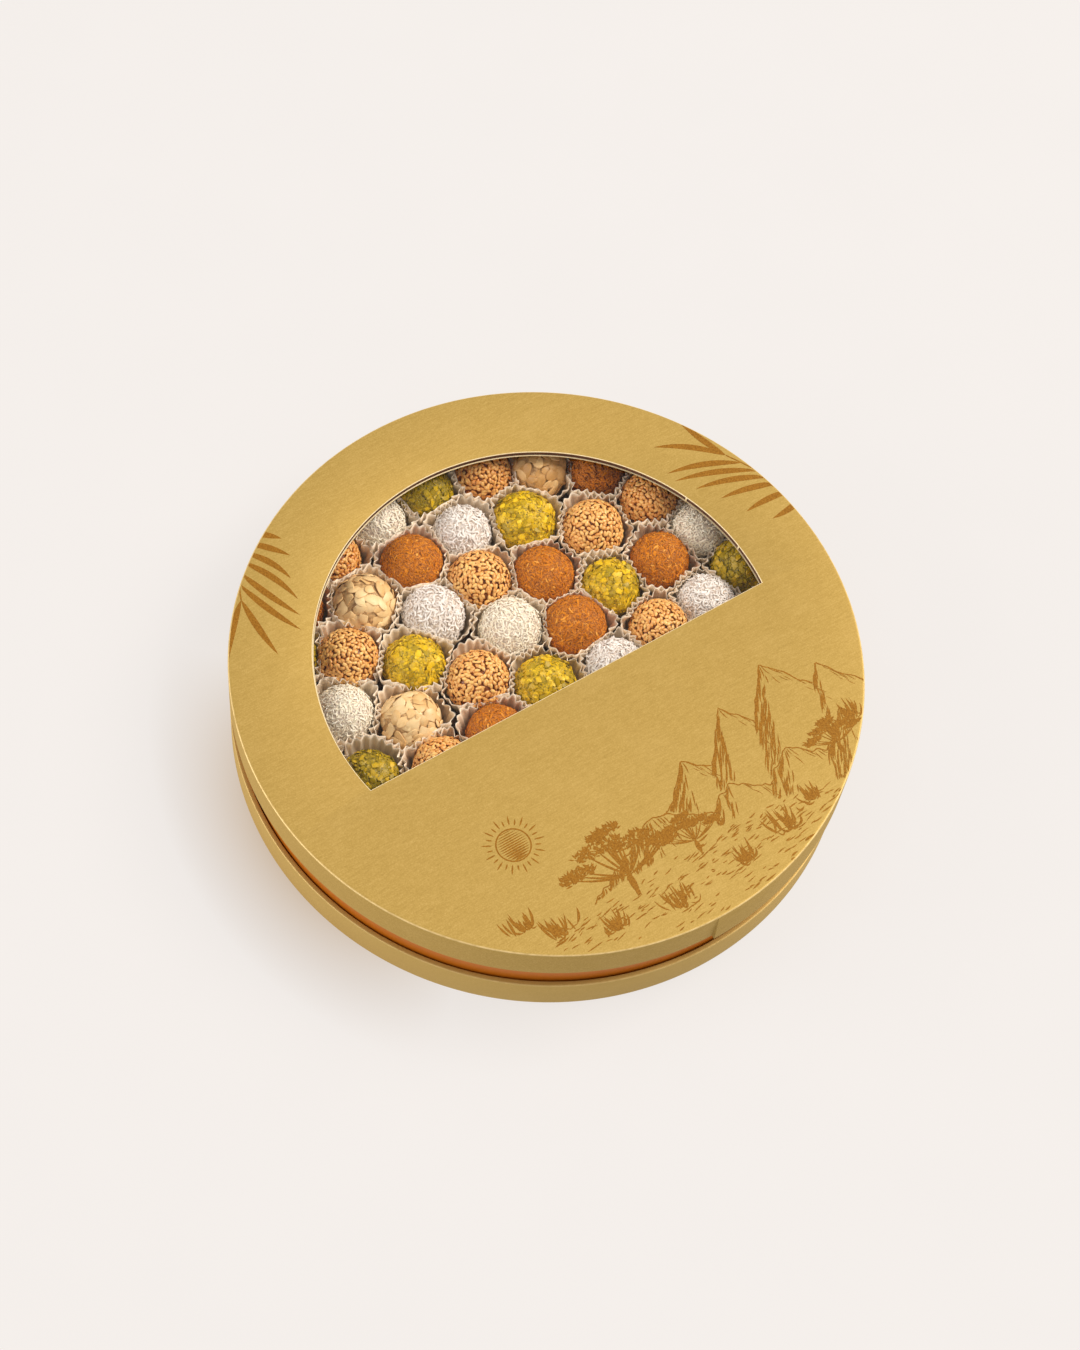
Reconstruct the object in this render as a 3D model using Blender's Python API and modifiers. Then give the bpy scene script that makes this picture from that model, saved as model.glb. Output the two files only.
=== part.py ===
"""Round paperboard gift box of coated date balls, seen through a D-shaped window in its lid.

The box is a shoulder box: a low base, a copper-coloured neck ring standing in it, and a lid
whose skirt hangs round the neck without reaching the base, so a band of the neck shows. The
balls stand in fluted paper cases, in uneven rings round the middle one. The frame has its
origin under the middle of the base, +Z up, X along the window's straight edge and the window
towards +Y.
"""
import math
import random

import bmesh
import bpy

MM = 0.001

# Driving dimensions, in millimetres.
BOX_RADIUS = 150.0
BOX_HEIGHT = 58.6
BOARD = 2.5
FIT = 0.3
BASE_HEIGHT = 21.3
SKIRT_BOTTOM = 37.5
NECK_RADIUS = 146.9
NECK_BOARD = 2.0
FLOOR_TOP = 19.9
WINDOW_CENTRE = (1.8, 2.7)
WINDOW_RADIUS = 111.0
WINDOW_CHORD_Y = -17.0
FILM_LAP = 6.0
FILM_THICKNESS = 0.3
SEAM_ANGLE = -92.0
SEAM_GAP = 0.15
LAP_PROUD = 1.0
LAP_TAPER = 60.0
TURN_STEPS = 72

# The sweets' common sizes, in millimetres and degrees. The crown's rows of points lie at
# CROWN_SLOPES above the ball's middle, and the coating varies by these shares of its radius.
BALL_MIDDLE = 14.75
COATING_DIP = 0.03
COATING_RISE = 0.015
CROWN_SLOPES = (8.0, 35.0, 62.0)
CASE_FOOT_RADIUS = 12.5
CASE_RIM_RADIUS = 17.6
CASE_RIM_HEIGHT = 18.0
CASE_RIM_SPREAD = 0.6
PLEAT_DEPTH = 0.9
PLEATS = 12
PAPER = 0.4
CREASE_ANGLE = 40.0

# The sweets, ring by ring: each one's coating, middle (x, y) and radius, in millimetres. The
# rings stop a little way under the closed part of the lid.
RINGS = (
    (
        ("pistachio", -1.9, -3.1, 14.8),
    ),
    (
        ("crumb", 28.1, 17.4, 15.5),
        ("coconut", 0.3, 32.0, 15.5),
        ("sesame", -28.4, 15.0, 15.2),
        ("crumb", -35.5, -13.1, 14.6),
        ("sesame", 0.0, -34.5, 14.6),
        ("coconut", 32.7, -11.3, 14.4),
    ),
    (
        ("crumb", 55.9, -32.2, 14.6),
        ("sesame", 63.3, -4.1, 14.2),
        ("pistachio", 54.9, 27.0, 14.2),
        ("crumb", 29.8, 48.4, 15.2),
        ("sesame", 0.9, 61.4, 15.3),
        ("coconut", -28.2, 56.3, 15.4),
        ("pistachio", -50.3, 37.5, 14.7),
        ("almond", -67.0, 13.0, 14.3),
        ("sesame", -66.2, -15.0, 14.3),
        ("coconut", -50.8, -39.7, 14.6),
    ),
    (
        ("almond", 87.9, -32.0, 14.6),
        ("coconut", 91.0, -3.9, 14.3),
        ("crumb", 84.5, 27.5, 14.5),
        ("sesame", 65.5, 58.8, 15.0),
        ("pistachio", 38.1, 79.3, 15.5),
        ("coconut", 8.1, 88.8, 14.4),
        ("crumb", -22.5, 85.6, 15.5),
        ("almond", -54.2, 77.6, 15.5),
        ("sesame", -76.0, 56.2, 15.1),
        ("coconut", -92.5, 32.0, 14.6),
        ("pistachio", -99.6, -3.3, 14.2),
        ("crumb", -89.3, -31.1, 14.6),
    ),
    (
        ("sesame", 121.4, -23.4, 14.6),
        ("pistachio", 117.3, 4.5, 14.3),
        ("coconut", 111.5, 32.7, 14.2),
        ("sesame", 99.5, 59.5, 14.2),
        ("crumb", 84.8, 86.5, 14.5),
        ("almond", 60.6, 101.0, 14.5),
        ("sesame", 35.1, 113.3, 14.7),
        ("pistachio", 3.7, 118.4, 14.6),
        ("coconut", -25.0, 114.8, 14.2),
        ("sesame", -54.9, 108.3, 14.2),
        ("crumb", -84.2, 93.2, 14.2),
        ("pistachio", -100.9, 70.7, 14.6),
        ("almond", -116.6, 47.0, 14.6),
        ("coconut", -121.8, 17.1, 14.6),
        ("sesame", -125.4, -14.1, 14.6),
    ),
)

# Colour, roughness and metallic of each material.
FINISHES = {
    "gold_paper": ((0.56, 0.35, 0.09), 0.5, 0.35),
    "copper_paper": ((0.52, 0.16, 0.02), 0.4, 0.5),
    "clear_film": ((0.9, 0.9, 0.9), 0.1, 0.0),
    "pistachio": ((0.45, 0.38, 0.02), 0.8, 0.0),
    "sesame": ((0.62, 0.33, 0.12), 0.6, 0.0),
    "coconut": ((0.80, 0.75, 0.68), 0.8, 0.0),
    "almond": ((0.76, 0.55, 0.30), 0.7, 0.0),
    "crumb": ((0.42, 0.15, 0.04), 0.8, 0.0),
}


def clear_scene():
    for old in list(bpy.data.objects):
        bpy.data.objects.remove(old, do_unlink=True)


def part_collection():
    collection = bpy.data.collections.new("window_gift_box")
    bpy.context.scene.collection.children.link(collection)
    return collection


def material(name):
    """The material of that name, made on its first use."""
    found = bpy.data.materials.get(name)
    if found:
        return found
    colour, roughness, metallic = FINISHES[name]
    made = bpy.data.materials.new(name)
    made.use_nodes = True
    shader = made.node_tree.nodes["Principled BSDF"]
    shader.inputs["Base Color"].default_value = (*colour, 1.0)
    shader.inputs["Roughness"].default_value = roughness
    shader.inputs["Metallic"].default_value = metallic
    if name == "clear_film":
        shader.inputs["Alpha"].default_value = 0.35
    made.diffuse_color = (*colour, 1.0)
    return made


def add_object(collection, name, data, finish):
    data.materials.append(material(finish))
    made = bpy.data.objects.new(name, data)
    collection.objects.link(made)
    return made


def turned(collection, name, profile, finish):
    """A closed profile of (radius, height) points in mm, turned round the Z axis."""
    mesh = bpy.data.meshes.new(name)
    builder = bmesh.new()
    points = [builder.verts.new((radius * MM, 0.0, height * MM)) for radius, height in profile]
    for first, second in zip(points, points[1:]):
        builder.edges.new((first, second))
    if profile[0][0] > 0.0:
        builder.edges.new((points[-1], points[0]))
    builder.to_mesh(mesh)
    builder.free()
    made = add_object(collection, name, mesh, finish)
    screw = made.modifiers.new("turn", "SCREW")
    screw.steps = TURN_STEPS
    screw.render_steps = TURN_STEPS
    screw.use_merge_vertices = True
    screw.merge_threshold = 0.00001
    screw.use_smooth_shade = False
    return made


def flat_solid(collection, name, outlines, bottom, top, finish):
    """Closed outlines of (x, y) points in mm, filled and given their thickness."""
    curve = bpy.data.curves.new(name, "CURVE")
    curve.dimensions = "2D"
    curve.fill_mode = "BOTH"
    curve.extrude = 0.5 * (top - bottom) * MM
    for outline in outlines:
        spline = curve.splines.new("POLY")
        spline.points.add(len(outline) - 1)
        for point, (x, y) in zip(spline.points, outline):
            point.co = (x * MM, y * MM, 0.0, 1.0)
        spline.use_cyclic_u = True
    made = add_object(collection, name, curve, finish)
    made.location.z = 0.5 * (top + bottom) * MM
    return made


def arc(radius, start, end, steps, centre=(0.0, 0.0)):
    """Points on a circle, from one angle to another in degrees."""
    angles = (math.radians(start + (end - start) * step / steps) for step in range(steps + 1))
    return [(centre[0] + radius * math.cos(angle), centre[1] + radius * math.sin(angle))
            for angle in angles]


def window_outline(grow):
    """The D of the window, made larger all round by grow."""
    radius = WINDOW_RADIUS + grow
    corner = math.degrees(math.asin((WINDOW_CHORD_Y - grow - WINDOW_CENTRE[1]) / radius))
    return arc(radius, corner, 180.0 - corner, TURN_STEPS // 2, WINDOW_CENTRE)


def build_base(collection):
    """The base with its raised floor, and the groove that holds the neck."""
    wall_inside = BOX_RADIUS - BOARD
    floor_edge = NECK_RADIUS - NECK_BOARD - FIT
    turned(collection, "base", (
        (0.0, FLOOR_TOP),
        (floor_edge, FLOOR_TOP),
        (floor_edge, BOARD),
        (wall_inside, BOARD),
        (wall_inside, BASE_HEIGHT),
        (BOX_RADIUS, BASE_HEIGHT),
        (BOX_RADIUS, 0.0),
        (0.0, 0.0),
    ), "gold_paper")


def build_neck(collection):
    """The ring that stands in the base's groove and carries the lid."""
    top = BOX_HEIGHT - BOARD - FIT
    turned(collection, "neck", (
        (NECK_RADIUS, top),
        (NECK_RADIUS, BOARD + FIT),
        (NECK_RADIUS - NECK_BOARD, BOARD + FIT),
        (NECK_RADIUS - NECK_BOARD, top),
    ), "copper_paper")


def build_lid(collection):
    """The lid's board with its D window, the film glued under it, and the skirt."""
    board_bottom = BOX_HEIGHT - BOARD
    rim = arc(BOX_RADIUS, 0.0, 360.0, TURN_STEPS)[:-1]
    flat_solid(collection, "lid_top", (rim, window_outline(0.0)), board_bottom, BOX_HEIGHT,
               "gold_paper")
    film_top = board_bottom - FIT
    flat_solid(collection, "window_film", (window_outline(FILM_LAP),),
               film_top - FILM_THICKNESS, film_top, "clear_film")

    # The skirt is one strip bent round and lapped: past the seam it stands proud, and it comes
    # back to the round of the lid a little at a time.
    sweep = 360.0 - SEAM_GAP
    outside = []
    for step in range(TURN_STEPS + 1):
        along = sweep * step / TURN_STEPS
        radius = BOX_RADIUS + LAP_PROUD * max(0.0, 1.0 - along / LAP_TAPER)
        angle = math.radians(SEAM_ANGLE + along)
        outside.append((radius * math.cos(angle), radius * math.sin(angle)))
    inside = arc(BOX_RADIUS - BOARD, SEAM_ANGLE, SEAM_ANGLE + sweep, TURN_STEPS)
    flat_solid(collection, "lid_skirt", (outside + inside[::-1],), SKIRT_BOTTOM,
               board_bottom - FIT, "gold_paper")


def sweets():
    """Every sweet in the box as (node name, coating, x, y, radius)."""
    return [(f"{coating}_ball_{ring}_{number:02d}", coating, x, y, radius)
            for ring, row in enumerate(RINGS)
            for number, (coating, x, y, radius) in enumerate(row)]


def room(x, y, others, direction):
    """How far a sweet at x, y may reach that way before half of the way to its neighbours."""
    reach = 2.0 * CASE_RIM_RADIUS
    for other_x, other_y in others:
        span = math.hypot(other_x - x, other_y - y)
        facing = math.cos(direction - math.atan2(other_y - y, other_x - x))
        if facing > 0.0:
            reach = min(reach, (0.5 * span - 0.5 * FIT) / facing)
    wall = NECK_RADIUS - NECK_BOARD - 2.0 * FIT
    outward = x * math.cos(direction) + y * math.sin(direction)
    to_wall = -outward + math.sqrt(outward ** 2 + wall ** 2 - x ** 2 - y ** 2)
    return min(reach, to_wall)


def build_sweet(collection, name, coating, x, y, radius, others, draw):
    """A coated ball in its paper case, as one closed solid with a pleated rim.

    It starts as a sphere whose rows of points become, from below, the case's foot, its rim, the
    crease where the paper meets the ball, two rows of the ball's crown and its top. Neighbours
    that touch are pressed a little flat there.
    """
    columns = 2 * PLEATS
    foot = FLOOR_TOP + FIT
    middle = foot + BALL_MIDDLE
    builder = bmesh.new()
    bmesh.ops.create_uvsphere(builder, u_segments=columns, v_segments=6, radius=1.0)
    for vertex in builder.verts:
        row = round(math.degrees(math.asin(max(-1.0, min(1.0, vertex.co.z)))) / 30.0) + 3
        direction = math.atan2(vertex.co.y, vertex.co.x)
        column = round(direction / math.tau * columns) % columns
        limit = room(x, y, others, direction)
        pleat = PLEAT_DEPTH * (1 if column % 2 else -1)
        rim = min(CASE_RIM_RADIUS + pleat, limit)
        if row == 0:
            across, height = 0.0, foot
        elif row == 1:
            across, height = CASE_FOOT_RADIUS + 0.5 * pleat, foot
        elif row == 2:
            unevenness = draw.uniform(-CASE_RIM_SPREAD, CASE_RIM_SPREAD)
            across, height = rim, foot + CASE_RIM_HEIGHT + unevenness
        elif row == 6:
            across, height = 0.0, middle + radius
        else:
            swell = radius * (1.0 + draw.uniform(-COATING_DIP, COATING_RISE))
            slope = math.radians(CROWN_SLOPES[row - 3])
            across = min(swell * math.cos(slope), rim - PAPER)
            height = middle + swell * math.sin(slope)
        vertex.co = ((x + across * math.cos(direction)) * MM,
                     (y + across * math.sin(direction)) * MM, height * MM)
    mesh = bpy.data.meshes.new(name)
    builder.to_mesh(mesh)
    builder.free()
    mesh.shade_smooth()
    mesh.set_sharp_from_angle(angle=math.radians(CREASE_ANGLE))
    add_object(collection, name, mesh, coating)


def build_sweets(collection):
    placed = sweets()
    for number, (name, coating, x, y, radius) in enumerate(placed):
        others = [(item[2], item[3]) for item in placed if item[0] != name]
        build_sweet(collection, name, coating, x, y, radius, others, random.Random(number))


def main():
    clear_scene()
    collection = part_collection()
    build_base(collection)
    build_neck(collection)
    build_lid(collection)
    build_sweets(collection)


main()
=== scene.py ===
"""Looks of a round gold paperboard gift box with a D-shaped window over coated date balls.

The box is dressed in the order it is packed: base, neck, sweets in their paper cases, then the
lid with its film and print. Lengths are in millimetres and turned to metres by MM.
"""
import math
import random

import bmesh
import bpy
import numpy as np
from mathutils import Matrix, Vector, noise


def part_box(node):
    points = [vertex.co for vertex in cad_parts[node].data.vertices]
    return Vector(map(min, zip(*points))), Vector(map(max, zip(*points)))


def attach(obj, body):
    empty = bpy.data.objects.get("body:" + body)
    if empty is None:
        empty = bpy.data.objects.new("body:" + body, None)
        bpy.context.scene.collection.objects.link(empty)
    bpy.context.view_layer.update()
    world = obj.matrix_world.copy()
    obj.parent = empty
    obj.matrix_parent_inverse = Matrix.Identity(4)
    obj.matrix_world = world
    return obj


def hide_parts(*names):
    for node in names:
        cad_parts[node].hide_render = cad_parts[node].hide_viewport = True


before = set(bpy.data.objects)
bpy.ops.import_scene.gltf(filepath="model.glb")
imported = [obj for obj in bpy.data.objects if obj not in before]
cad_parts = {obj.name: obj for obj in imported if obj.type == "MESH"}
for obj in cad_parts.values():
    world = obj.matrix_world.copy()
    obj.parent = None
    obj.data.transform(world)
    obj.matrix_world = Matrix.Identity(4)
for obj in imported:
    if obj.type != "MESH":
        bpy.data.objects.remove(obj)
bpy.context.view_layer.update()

MM = 0.001


# Base. A low round tray of thick board, wrapped in pearly gold paper that is folded over the
# rim. The wrapping leaves soft edges, and the fold is a little lighter than the flat: partly
# worn paper, partly a painted highlight.
def srgb(red, green, blue):
    """A colour as the eye sees it, 0 to 255, turned to the linear one that shaders use."""
    return tuple(((value / 255 + 0.055) / 1.055) ** 2.4 for value in (red, green, blue))


class Signal:
    """An output of a shader node. Arithmetic on it adds Math nodes."""

    def __init__(self, tree, socket):
        self.tree = tree
        self.socket = socket

    def math(self, operation, *values):
        made = self.tree.nodes.new("ShaderNodeMath")
        made.operation = operation
        for socket, value in zip(made.inputs, values):
            if isinstance(value, Signal):
                self.tree.links.new(value.socket, socket)
            else:
                socket.default_value = value
        return Signal(self.tree, made.outputs[0])

    def __add__(self, other):
        return self.math("ADD", self, other)

    def __sub__(self, other):
        return self.math("SUBTRACT", self, other)

    def __rsub__(self, other):
        return self.math("SUBTRACT", other, self)

    def __mul__(self, other):
        return self.math("MULTIPLY", self, other)

    __radd__ = __add__
    __rmul__ = __mul__

    def fade(self, start, end):
        """0 at start and 1 at end, straight between them and held outside."""
        made = self.tree.nodes.new("ShaderNodeMapRange")
        made.inputs["From Min"].default_value = start
        made.inputs["From Max"].default_value = end
        self.tree.links.new(self.socket, made.inputs["Value"])
        return Signal(self.tree, made.outputs[0])


class Finish:
    """A material in the making: its Principled shader, and short ways to add other nodes."""

    def __init__(self, name, **fixed):
        self.material = bpy.data.materials.new(name)
        self.material.use_nodes = True
        self.tree = self.material.node_tree
        self.shader = self.tree.nodes["Principled BSDF"]
        self.surface(**fixed)

    def fill(self, socket, value):
        if isinstance(value, Signal):
            self.tree.links.new(value.socket, socket)
        elif isinstance(value, tuple) and socket.type == "RGBA":
            socket.default_value = (*value[:3], 1.0)
        else:
            socket.default_value = value

    def node(self, kind, settings, inputs, output=0):
        made = self.tree.nodes.new(kind)
        for key, value in settings.items():
            setattr(made, key, value)
        for key, value in inputs.items():
            self.fill(made.inputs[key], value)
        return Signal(self.tree, made.outputs[output])

    def place(self, scale=(1.0, 1.0, 1.0), turn=0.0):
        """Object coordinates, stretched and then turned about Z."""
        where = self.node("ShaderNodeTexCoord", {}, {}, "Object")
        return self.node("ShaderNodeMapping", {}, {
            "Vector": where, "Scale": scale, "Rotation": (0.0, 0.0, math.radians(turn))})

    def noise(self, size, detail=2.0, rough=0.5, scale=(1.0, 1.0, 1.0), turn=0.0):
        """Noise whose blobs are about size mm across, or longer along an axis scaled under 1."""
        return self.node("ShaderNodeTexNoise", {}, {
            "Vector": self.place(scale, turn), "Scale": 1.0 / (size * MM),
            "Detail": detail, "Roughness": rough})

    def mix(self, first, second, factor):
        return self.node("ShaderNodeMix", {"data_type": "RGBA"}, {
            0: factor, 6: first, 7: second}, 2)

    def axis(self, which):
        """One of the Object coordinates, in mm."""
        where = self.node("ShaderNodeTexCoord", {}, {}, "Object")
        return self.node("ShaderNodeSeparateXYZ", {}, {"Vector": where}, which) * (1.0 / MM)

    def radius(self):
        """How far a point is from the Z axis, in mm."""
        across, along = self.axis("X"), self.axis("Y")
        return across.math("SQRT", across * across + along * along)

    def bump(self, height, depth, strength):
        """The surface pushed up and down by height times depth mm."""
        return self.node("ShaderNodeBump", {}, {
            "Height": height, "Distance": depth * MM, "Strength": strength})

    def surface(self, **inputs):
        """Fill the shader's sockets, such as base_color."""
        for key, value in inputs.items():
            socket = key.replace("_", " ").title().replace("Ior", "IOR")
            self.fill(self.shader.inputs[socket], value)
        return self.material


GOLD_DARK = srgb(160, 131, 70)
GOLD = srgb(177, 147, 81)
GOLD_LIGHT = srgb(196, 166, 102)
GOLD_FOLD = srgb(244, 217, 160)


def gold_paper(name, folds, lift=0.0):
    """Pearly gold paper: a felt-like grain, faint streaks from the paper mill's wire, and a
    lighter line along each fold, partly worn paper and partly a painted highlight, given as
    (radius, height, strength). The lift is the share by which the whole paper is painted
    lighter: painted light for a lit copy of the same paper."""
    paper = Finish(name, metallic=0.3, specular_ior_level=0.0)
    grain = paper.noise(0.7, 4.0, 0.7)
    fibre = paper.noise(0.6, 2.0, 0.6, (0.14, 1.0, 1.0), 62.0)
    cross = paper.noise(0.8, 2.0, 0.6, (0.1, 1.0, 1.0), -35.0)
    cloud = paper.noise(18.0, 3.0, 0.6)
    felt = grain * 0.6 + fibre * 0.22 + cross * 0.18
    body = paper.mix(GOLD_DARK, GOLD, felt.fade(0.3, 0.5))
    body = paper.mix(body, GOLD_LIGHT, felt.fade(0.5, 0.72))
    body = paper.mix(body, GOLD_LIGHT, cloud.fade(0.5, 0.8) * 0.2 + lift)
    radius, height = paper.radius(), paper.axis("Z")
    # The fold line: partly worn paper, partly a painted highlight on the folded edge.
    wear_and_highlight = paper.noise(3.5, 3.0, 0.6).fade(0.25, 0.6)
    for fold_radius, fold_height, strength in folds:
        near = radius.math("ABSOLUTE", radius - fold_radius)
        close = height.math("ABSOLUTE", height - fold_height)
        line = 1.0 - near.math("MAXIMUM", near, close).fade(0.3, 0.8)
        body = paper.mix(body, GOLD_FOLD, line * (wear_and_highlight * 0.5 + 0.35) * strength)
    return paper.surface(base_color=body, roughness=grain * 0.2 + 0.38,
                         normal=paper.bump(felt, 0.06, 0.5))


ARC_STEPS = 4
TURN_STEPS = 288
SAME_PLACE = 0.0005


def soften(corners):
    """A profile of (radius, height, rounding) corners in mm, with its corners made arcs."""
    points = []
    for number, (x, z, rounding) in enumerate(corners):
        if rounding == 0.0:
            points.append((x, z))
            continue
        corner = Vector((x, z))
        before = (Vector(corners[number - 1][:2]) - corner).normalized()
        after = (Vector(corners[(number + 1) % len(corners)][:2]) - corner).normalized()
        centre = corner + (before + after) * rounding
        for step in range(ARC_STEPS + 1):
            swing = math.radians(90.0 * step / ARC_STEPS)
            points.append(tuple(centre - after * rounding * math.cos(swing)
                                - before * rounding * math.sin(swing)))
    return points


def turn(profile, closed=False, start=0.0):
    """A bmesh of the profile of (radius, height) points in mm, turned right round Z."""
    builder = bmesh.new()
    points = [builder.verts.new((radius * MM, 0.0, height * MM)) for radius, height in profile]
    pairs = list(zip(points, points[1:]))
    if closed:
        pairs.append((points[-1], points[0]))
    edges = [builder.edges.new(pair) for pair in pairs]
    bmesh.ops.rotate(builder, verts=points, cent=(0, 0, 0),
                     matrix=Matrix.Rotation(math.radians(start), 3, "Z"))
    bmesh.ops.spin(builder, geom=points + edges, cent=(0, 0, 0), axis=(0, 0, 1),
                   angle=math.tau, steps=TURN_STEPS, use_merge=True)
    bmesh.ops.remove_doubles(builder, verts=builder.verts, dist=SAME_PLACE * MM)
    return builder


def mesh_of(name, builder):
    """A new mesh made of a bmesh, which is freed."""
    mesh = bpy.data.meshes.new(name)
    builder.to_mesh(mesh)
    builder.free()
    return mesh


def placed(name, data):
    """A new object in the scene, for a mesh, a lamp or the camera."""
    made = bpy.data.objects.new(name, data)
    bpy.context.scene.collection.objects.link(made)
    return made


def finished(name, builder, finishes, nodes=(), sharp=35.0):
    """The piece made of a bmesh: smooth but for sharp edges, riding on the box."""
    return dressed(name, mesh_of(name, builder), finishes, nodes, sharp)


def dressed(name, mesh, finishes, nodes=(), sharp=35.0):
    """The piece made of a mesh. It takes the place of the CAD nodes, if any are given."""
    mesh.shade_smooth()
    mesh.set_sharp_from_angle(angle=math.radians(sharp))
    for finish in finishes:
        mesh.materials.append(finish)
    piece = placed(name, mesh)
    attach(piece, "root")
    if nodes:
        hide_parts(*nodes)
    return piece


base_high, neck_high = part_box("base")[1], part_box("neck")[1]
BOX_RADIUS = base_high.x / MM
BASE_TOP = base_high.z / MM
BOARD = 2.5
FLOOR_TOP = 19.9
NECK_RADIUS = neck_high.x / MM
NECK_BOARD = 2.0
NECK_GAP = 0.3
FLOOR_EDGE = NECK_RADIUS - NECK_BOARD - NECK_GAP

base = turn(soften((
    (0.0, 0.0, 0.0),
    (BOX_RADIUS, 0.0, 0.6),
    (BOX_RADIUS, BASE_TOP, 0.55),
    (BOX_RADIUS - BOARD, BASE_TOP, 0.45),
    (BOX_RADIUS - BOARD, BOARD, 0.0),
    (FLOOR_EDGE, BOARD, 0.0),
    (FLOOR_EDGE, FLOOR_TOP, 0.3),
    (0.0, FLOOR_TOP, 0.0),
)))
bmesh.ops.recalc_face_normals(base, faces=base.faces)
for face in base.faces:
    if face.normal.z > 0.9 and face.calc_center_median().xy.length < FLOOR_EDGE * MM:
        face.material_index = 1


def plain_finish(name, first, second, size, roughness):
    """Uncoated paper or board: two near colours and a soft fibre."""
    stuff = Finish(name, roughness=roughness, specular_ior_level=0.25)
    fibre = stuff.noise(size, 3.0, 0.6)
    return stuff.surface(base_color=stuff.mix(first, second, fibre.fade(0.3, 0.7)),
                         normal=stuff.bump(fibre, 0.05, 0.4))


# The base's copy of the gold paper is painted lighter by its lift: painted light.
base_paper = gold_paper("base_gold_paper", ((BOX_RADIUS, BASE_TOP, 0.35),), 0.45)
# The raised floor under the cups is plain board, painted dark brown for the shade down between the
# cups.
floor_board = plain_finish("floor_board", srgb(112, 70, 38), srgb(146, 98, 58), 1.2, 0.8)
finished("base_tray", base, (base_paper, floor_board), ("base",))


# Neck. A plain ring of board covered in satin copper paper, glued upright in the base's
# groove. A finger-wide band of it shows between the base and the lid's skirt.
def copper_paper():
    """Satin copper paper with faint upright streaks."""
    paper = Finish("copper_paper", metallic=0.35, specular_ior_level=0.2)
    grain = paper.noise(0.5, 3.0, 0.6)
    brushed = paper.noise(1.2, 2.0, 0.5, (1.0, 1.0, 0.25))
    body = paper.mix(srgb(176, 92, 14), srgb(200, 118, 28), grain * 0.5 + brushed * 0.5)
    return paper.surface(base_color=body, roughness=brushed * 0.15 + 0.3,
                         normal=paper.bump(grain, 0.03, 0.3))


neck = turn(soften((
    (NECK_RADIUS, BOARD + NECK_GAP, 0.0),
    (NECK_RADIUS, neck_high.z / MM, 0.4),
    (NECK_RADIUS - NECK_BOARD, neck_high.z / MM, 0.4),
    (NECK_RADIUS - NECK_BOARD, BOARD + NECK_GAP, 0.0),
)), closed=True)
bmesh.ops.recalc_face_normals(neck, faces=neck.faces)
finished("neck_ring", neck, (copper_paper(),), ("neck",))


# Paper cases. Each sweet stands in a fluted cup of thin greaseproof paper. The cups are pressed
# together in the box, so a rim spreads into the gaps and stays narrow where two sweets touch.
BALL_MIDDLE = 14.75
LIMIT_STEPS = 90
PRESSED = 0.55
LUMP = 0.03
WALL_SHADE_FROM = 94.0
WALL_SHADE_SPAN = 8.0


class Sweet:
    """A ball's place and size, read from its CAD node: the node's top is over its middle.
    Its coating is darker by the wall, where dark is 1, than further in, where it is 0. That is
    painted shade of the lid over the outer balls, and for pistachio partly an olive colour of their
    own."""

    def __init__(self, node):
        self.node = node
        self.coating, self.ring, self.number = node.replace("_ball", "").split("_")
        self.key = f"{self.ring}_{self.number}"
        top = max((vertex.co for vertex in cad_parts[node].data.vertices),
                  key=lambda point: point.z)
        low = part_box(node)[0]
        self.x, self.y = top.x / MM, top.y / MM
        self.foot = low.z / MM
        self.middle = self.foot + BALL_MIDDLE
        self.radius = top.z / MM - self.middle
        outward = (math.hypot(self.x, self.y) - WALL_SHADE_FROM) / WALL_SHADE_SPAN
        self.dark = min(1.0, max(0.0, outward))
        self.seed = int(self.ring) * 100 + int(self.number)
        self.draw = random.Random(self.seed)
        self.turn = self.draw.uniform(0.0, math.tau)
        self.limits = []

    def skin(self, direction, shrink):
        """The point on the ball's uneven surface in that direction, shrink mm below it. Where
        a neighbour is close the ball is pressed a little flat."""
        where = direction * 1.6 + Vector((self.seed * 1.7, 3.1, self.seed * 0.9))
        reach = self.radius * (1.0 + LUMP * noise.noise(where)) - shrink
        flat = math.hypot(direction.x, direction.y)
        column = round(math.atan2(direction.y, direction.x) / math.tau * LIMIT_STEPS)
        limit = self.limits[column % LIMIT_STEPS] - PRESSED
        return (Vector((self.x, self.y, self.middle))
                + direction * min(reach, limit / max(flat, 0.3)))


sweets = [Sweet(node) for node in sorted(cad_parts) if "_ball_" in node]
CASE_PLEATS = 26
CASE_STEPS = 8
CASE_ROWS = 8
CASE_FOOT = 12.3
CASE_FLARE = 19.8
CASE_HEIGHT = 21.2
CASE_PUSH = 1.4
PLEAT_DEPTH = 0.75
PLEAT_CRUSH = 0.3
CASE_LIFT = 0.1
PAPER_THICKNESS = 0.12


def room(sweet, direction, rise):
    """How far a case may reach that way: half-way to its neighbours, or to the neck. Towards
    the rim one of two neighbours pushes the other back."""
    reach = 2.0 * CASE_FLARE
    for other in sweets:
        span = math.hypot(other.x - sweet.x, other.y - sweet.y)
        facing = math.cos(direction - math.atan2(other.y - sweet.y, other.x - sweet.x))
        if 0.0 < span < 4.0 * CASE_FLARE and facing > 0.05:
            push = CASE_PUSH * rise ** 3 * math.sin(1.9 * (sweet.seed - other.seed))
            reach = min(reach, (0.5 * span - 0.1 + push) / facing)
    outward = sweet.x * math.cos(direction) + sweet.y * math.sin(direction)
    inside = outward ** 2 + FLOOR_EDGE ** 2 - sweet.x ** 2 - sweet.y ** 2
    return min(reach, math.sqrt(inside) - outward)


for sweet in sweets:
    sweet.limits = [room(sweet, math.tau * step / LIMIT_STEPS, 0.0) for step in range(LIMIT_STEPS)]


def uprights(builder, rise):
    """The edges that climb by more than rise."""
    return [edge for edge in builder.edges
            if abs(edge.verts[0].co.z - edge.verts[1].co.z) > rise]


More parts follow.
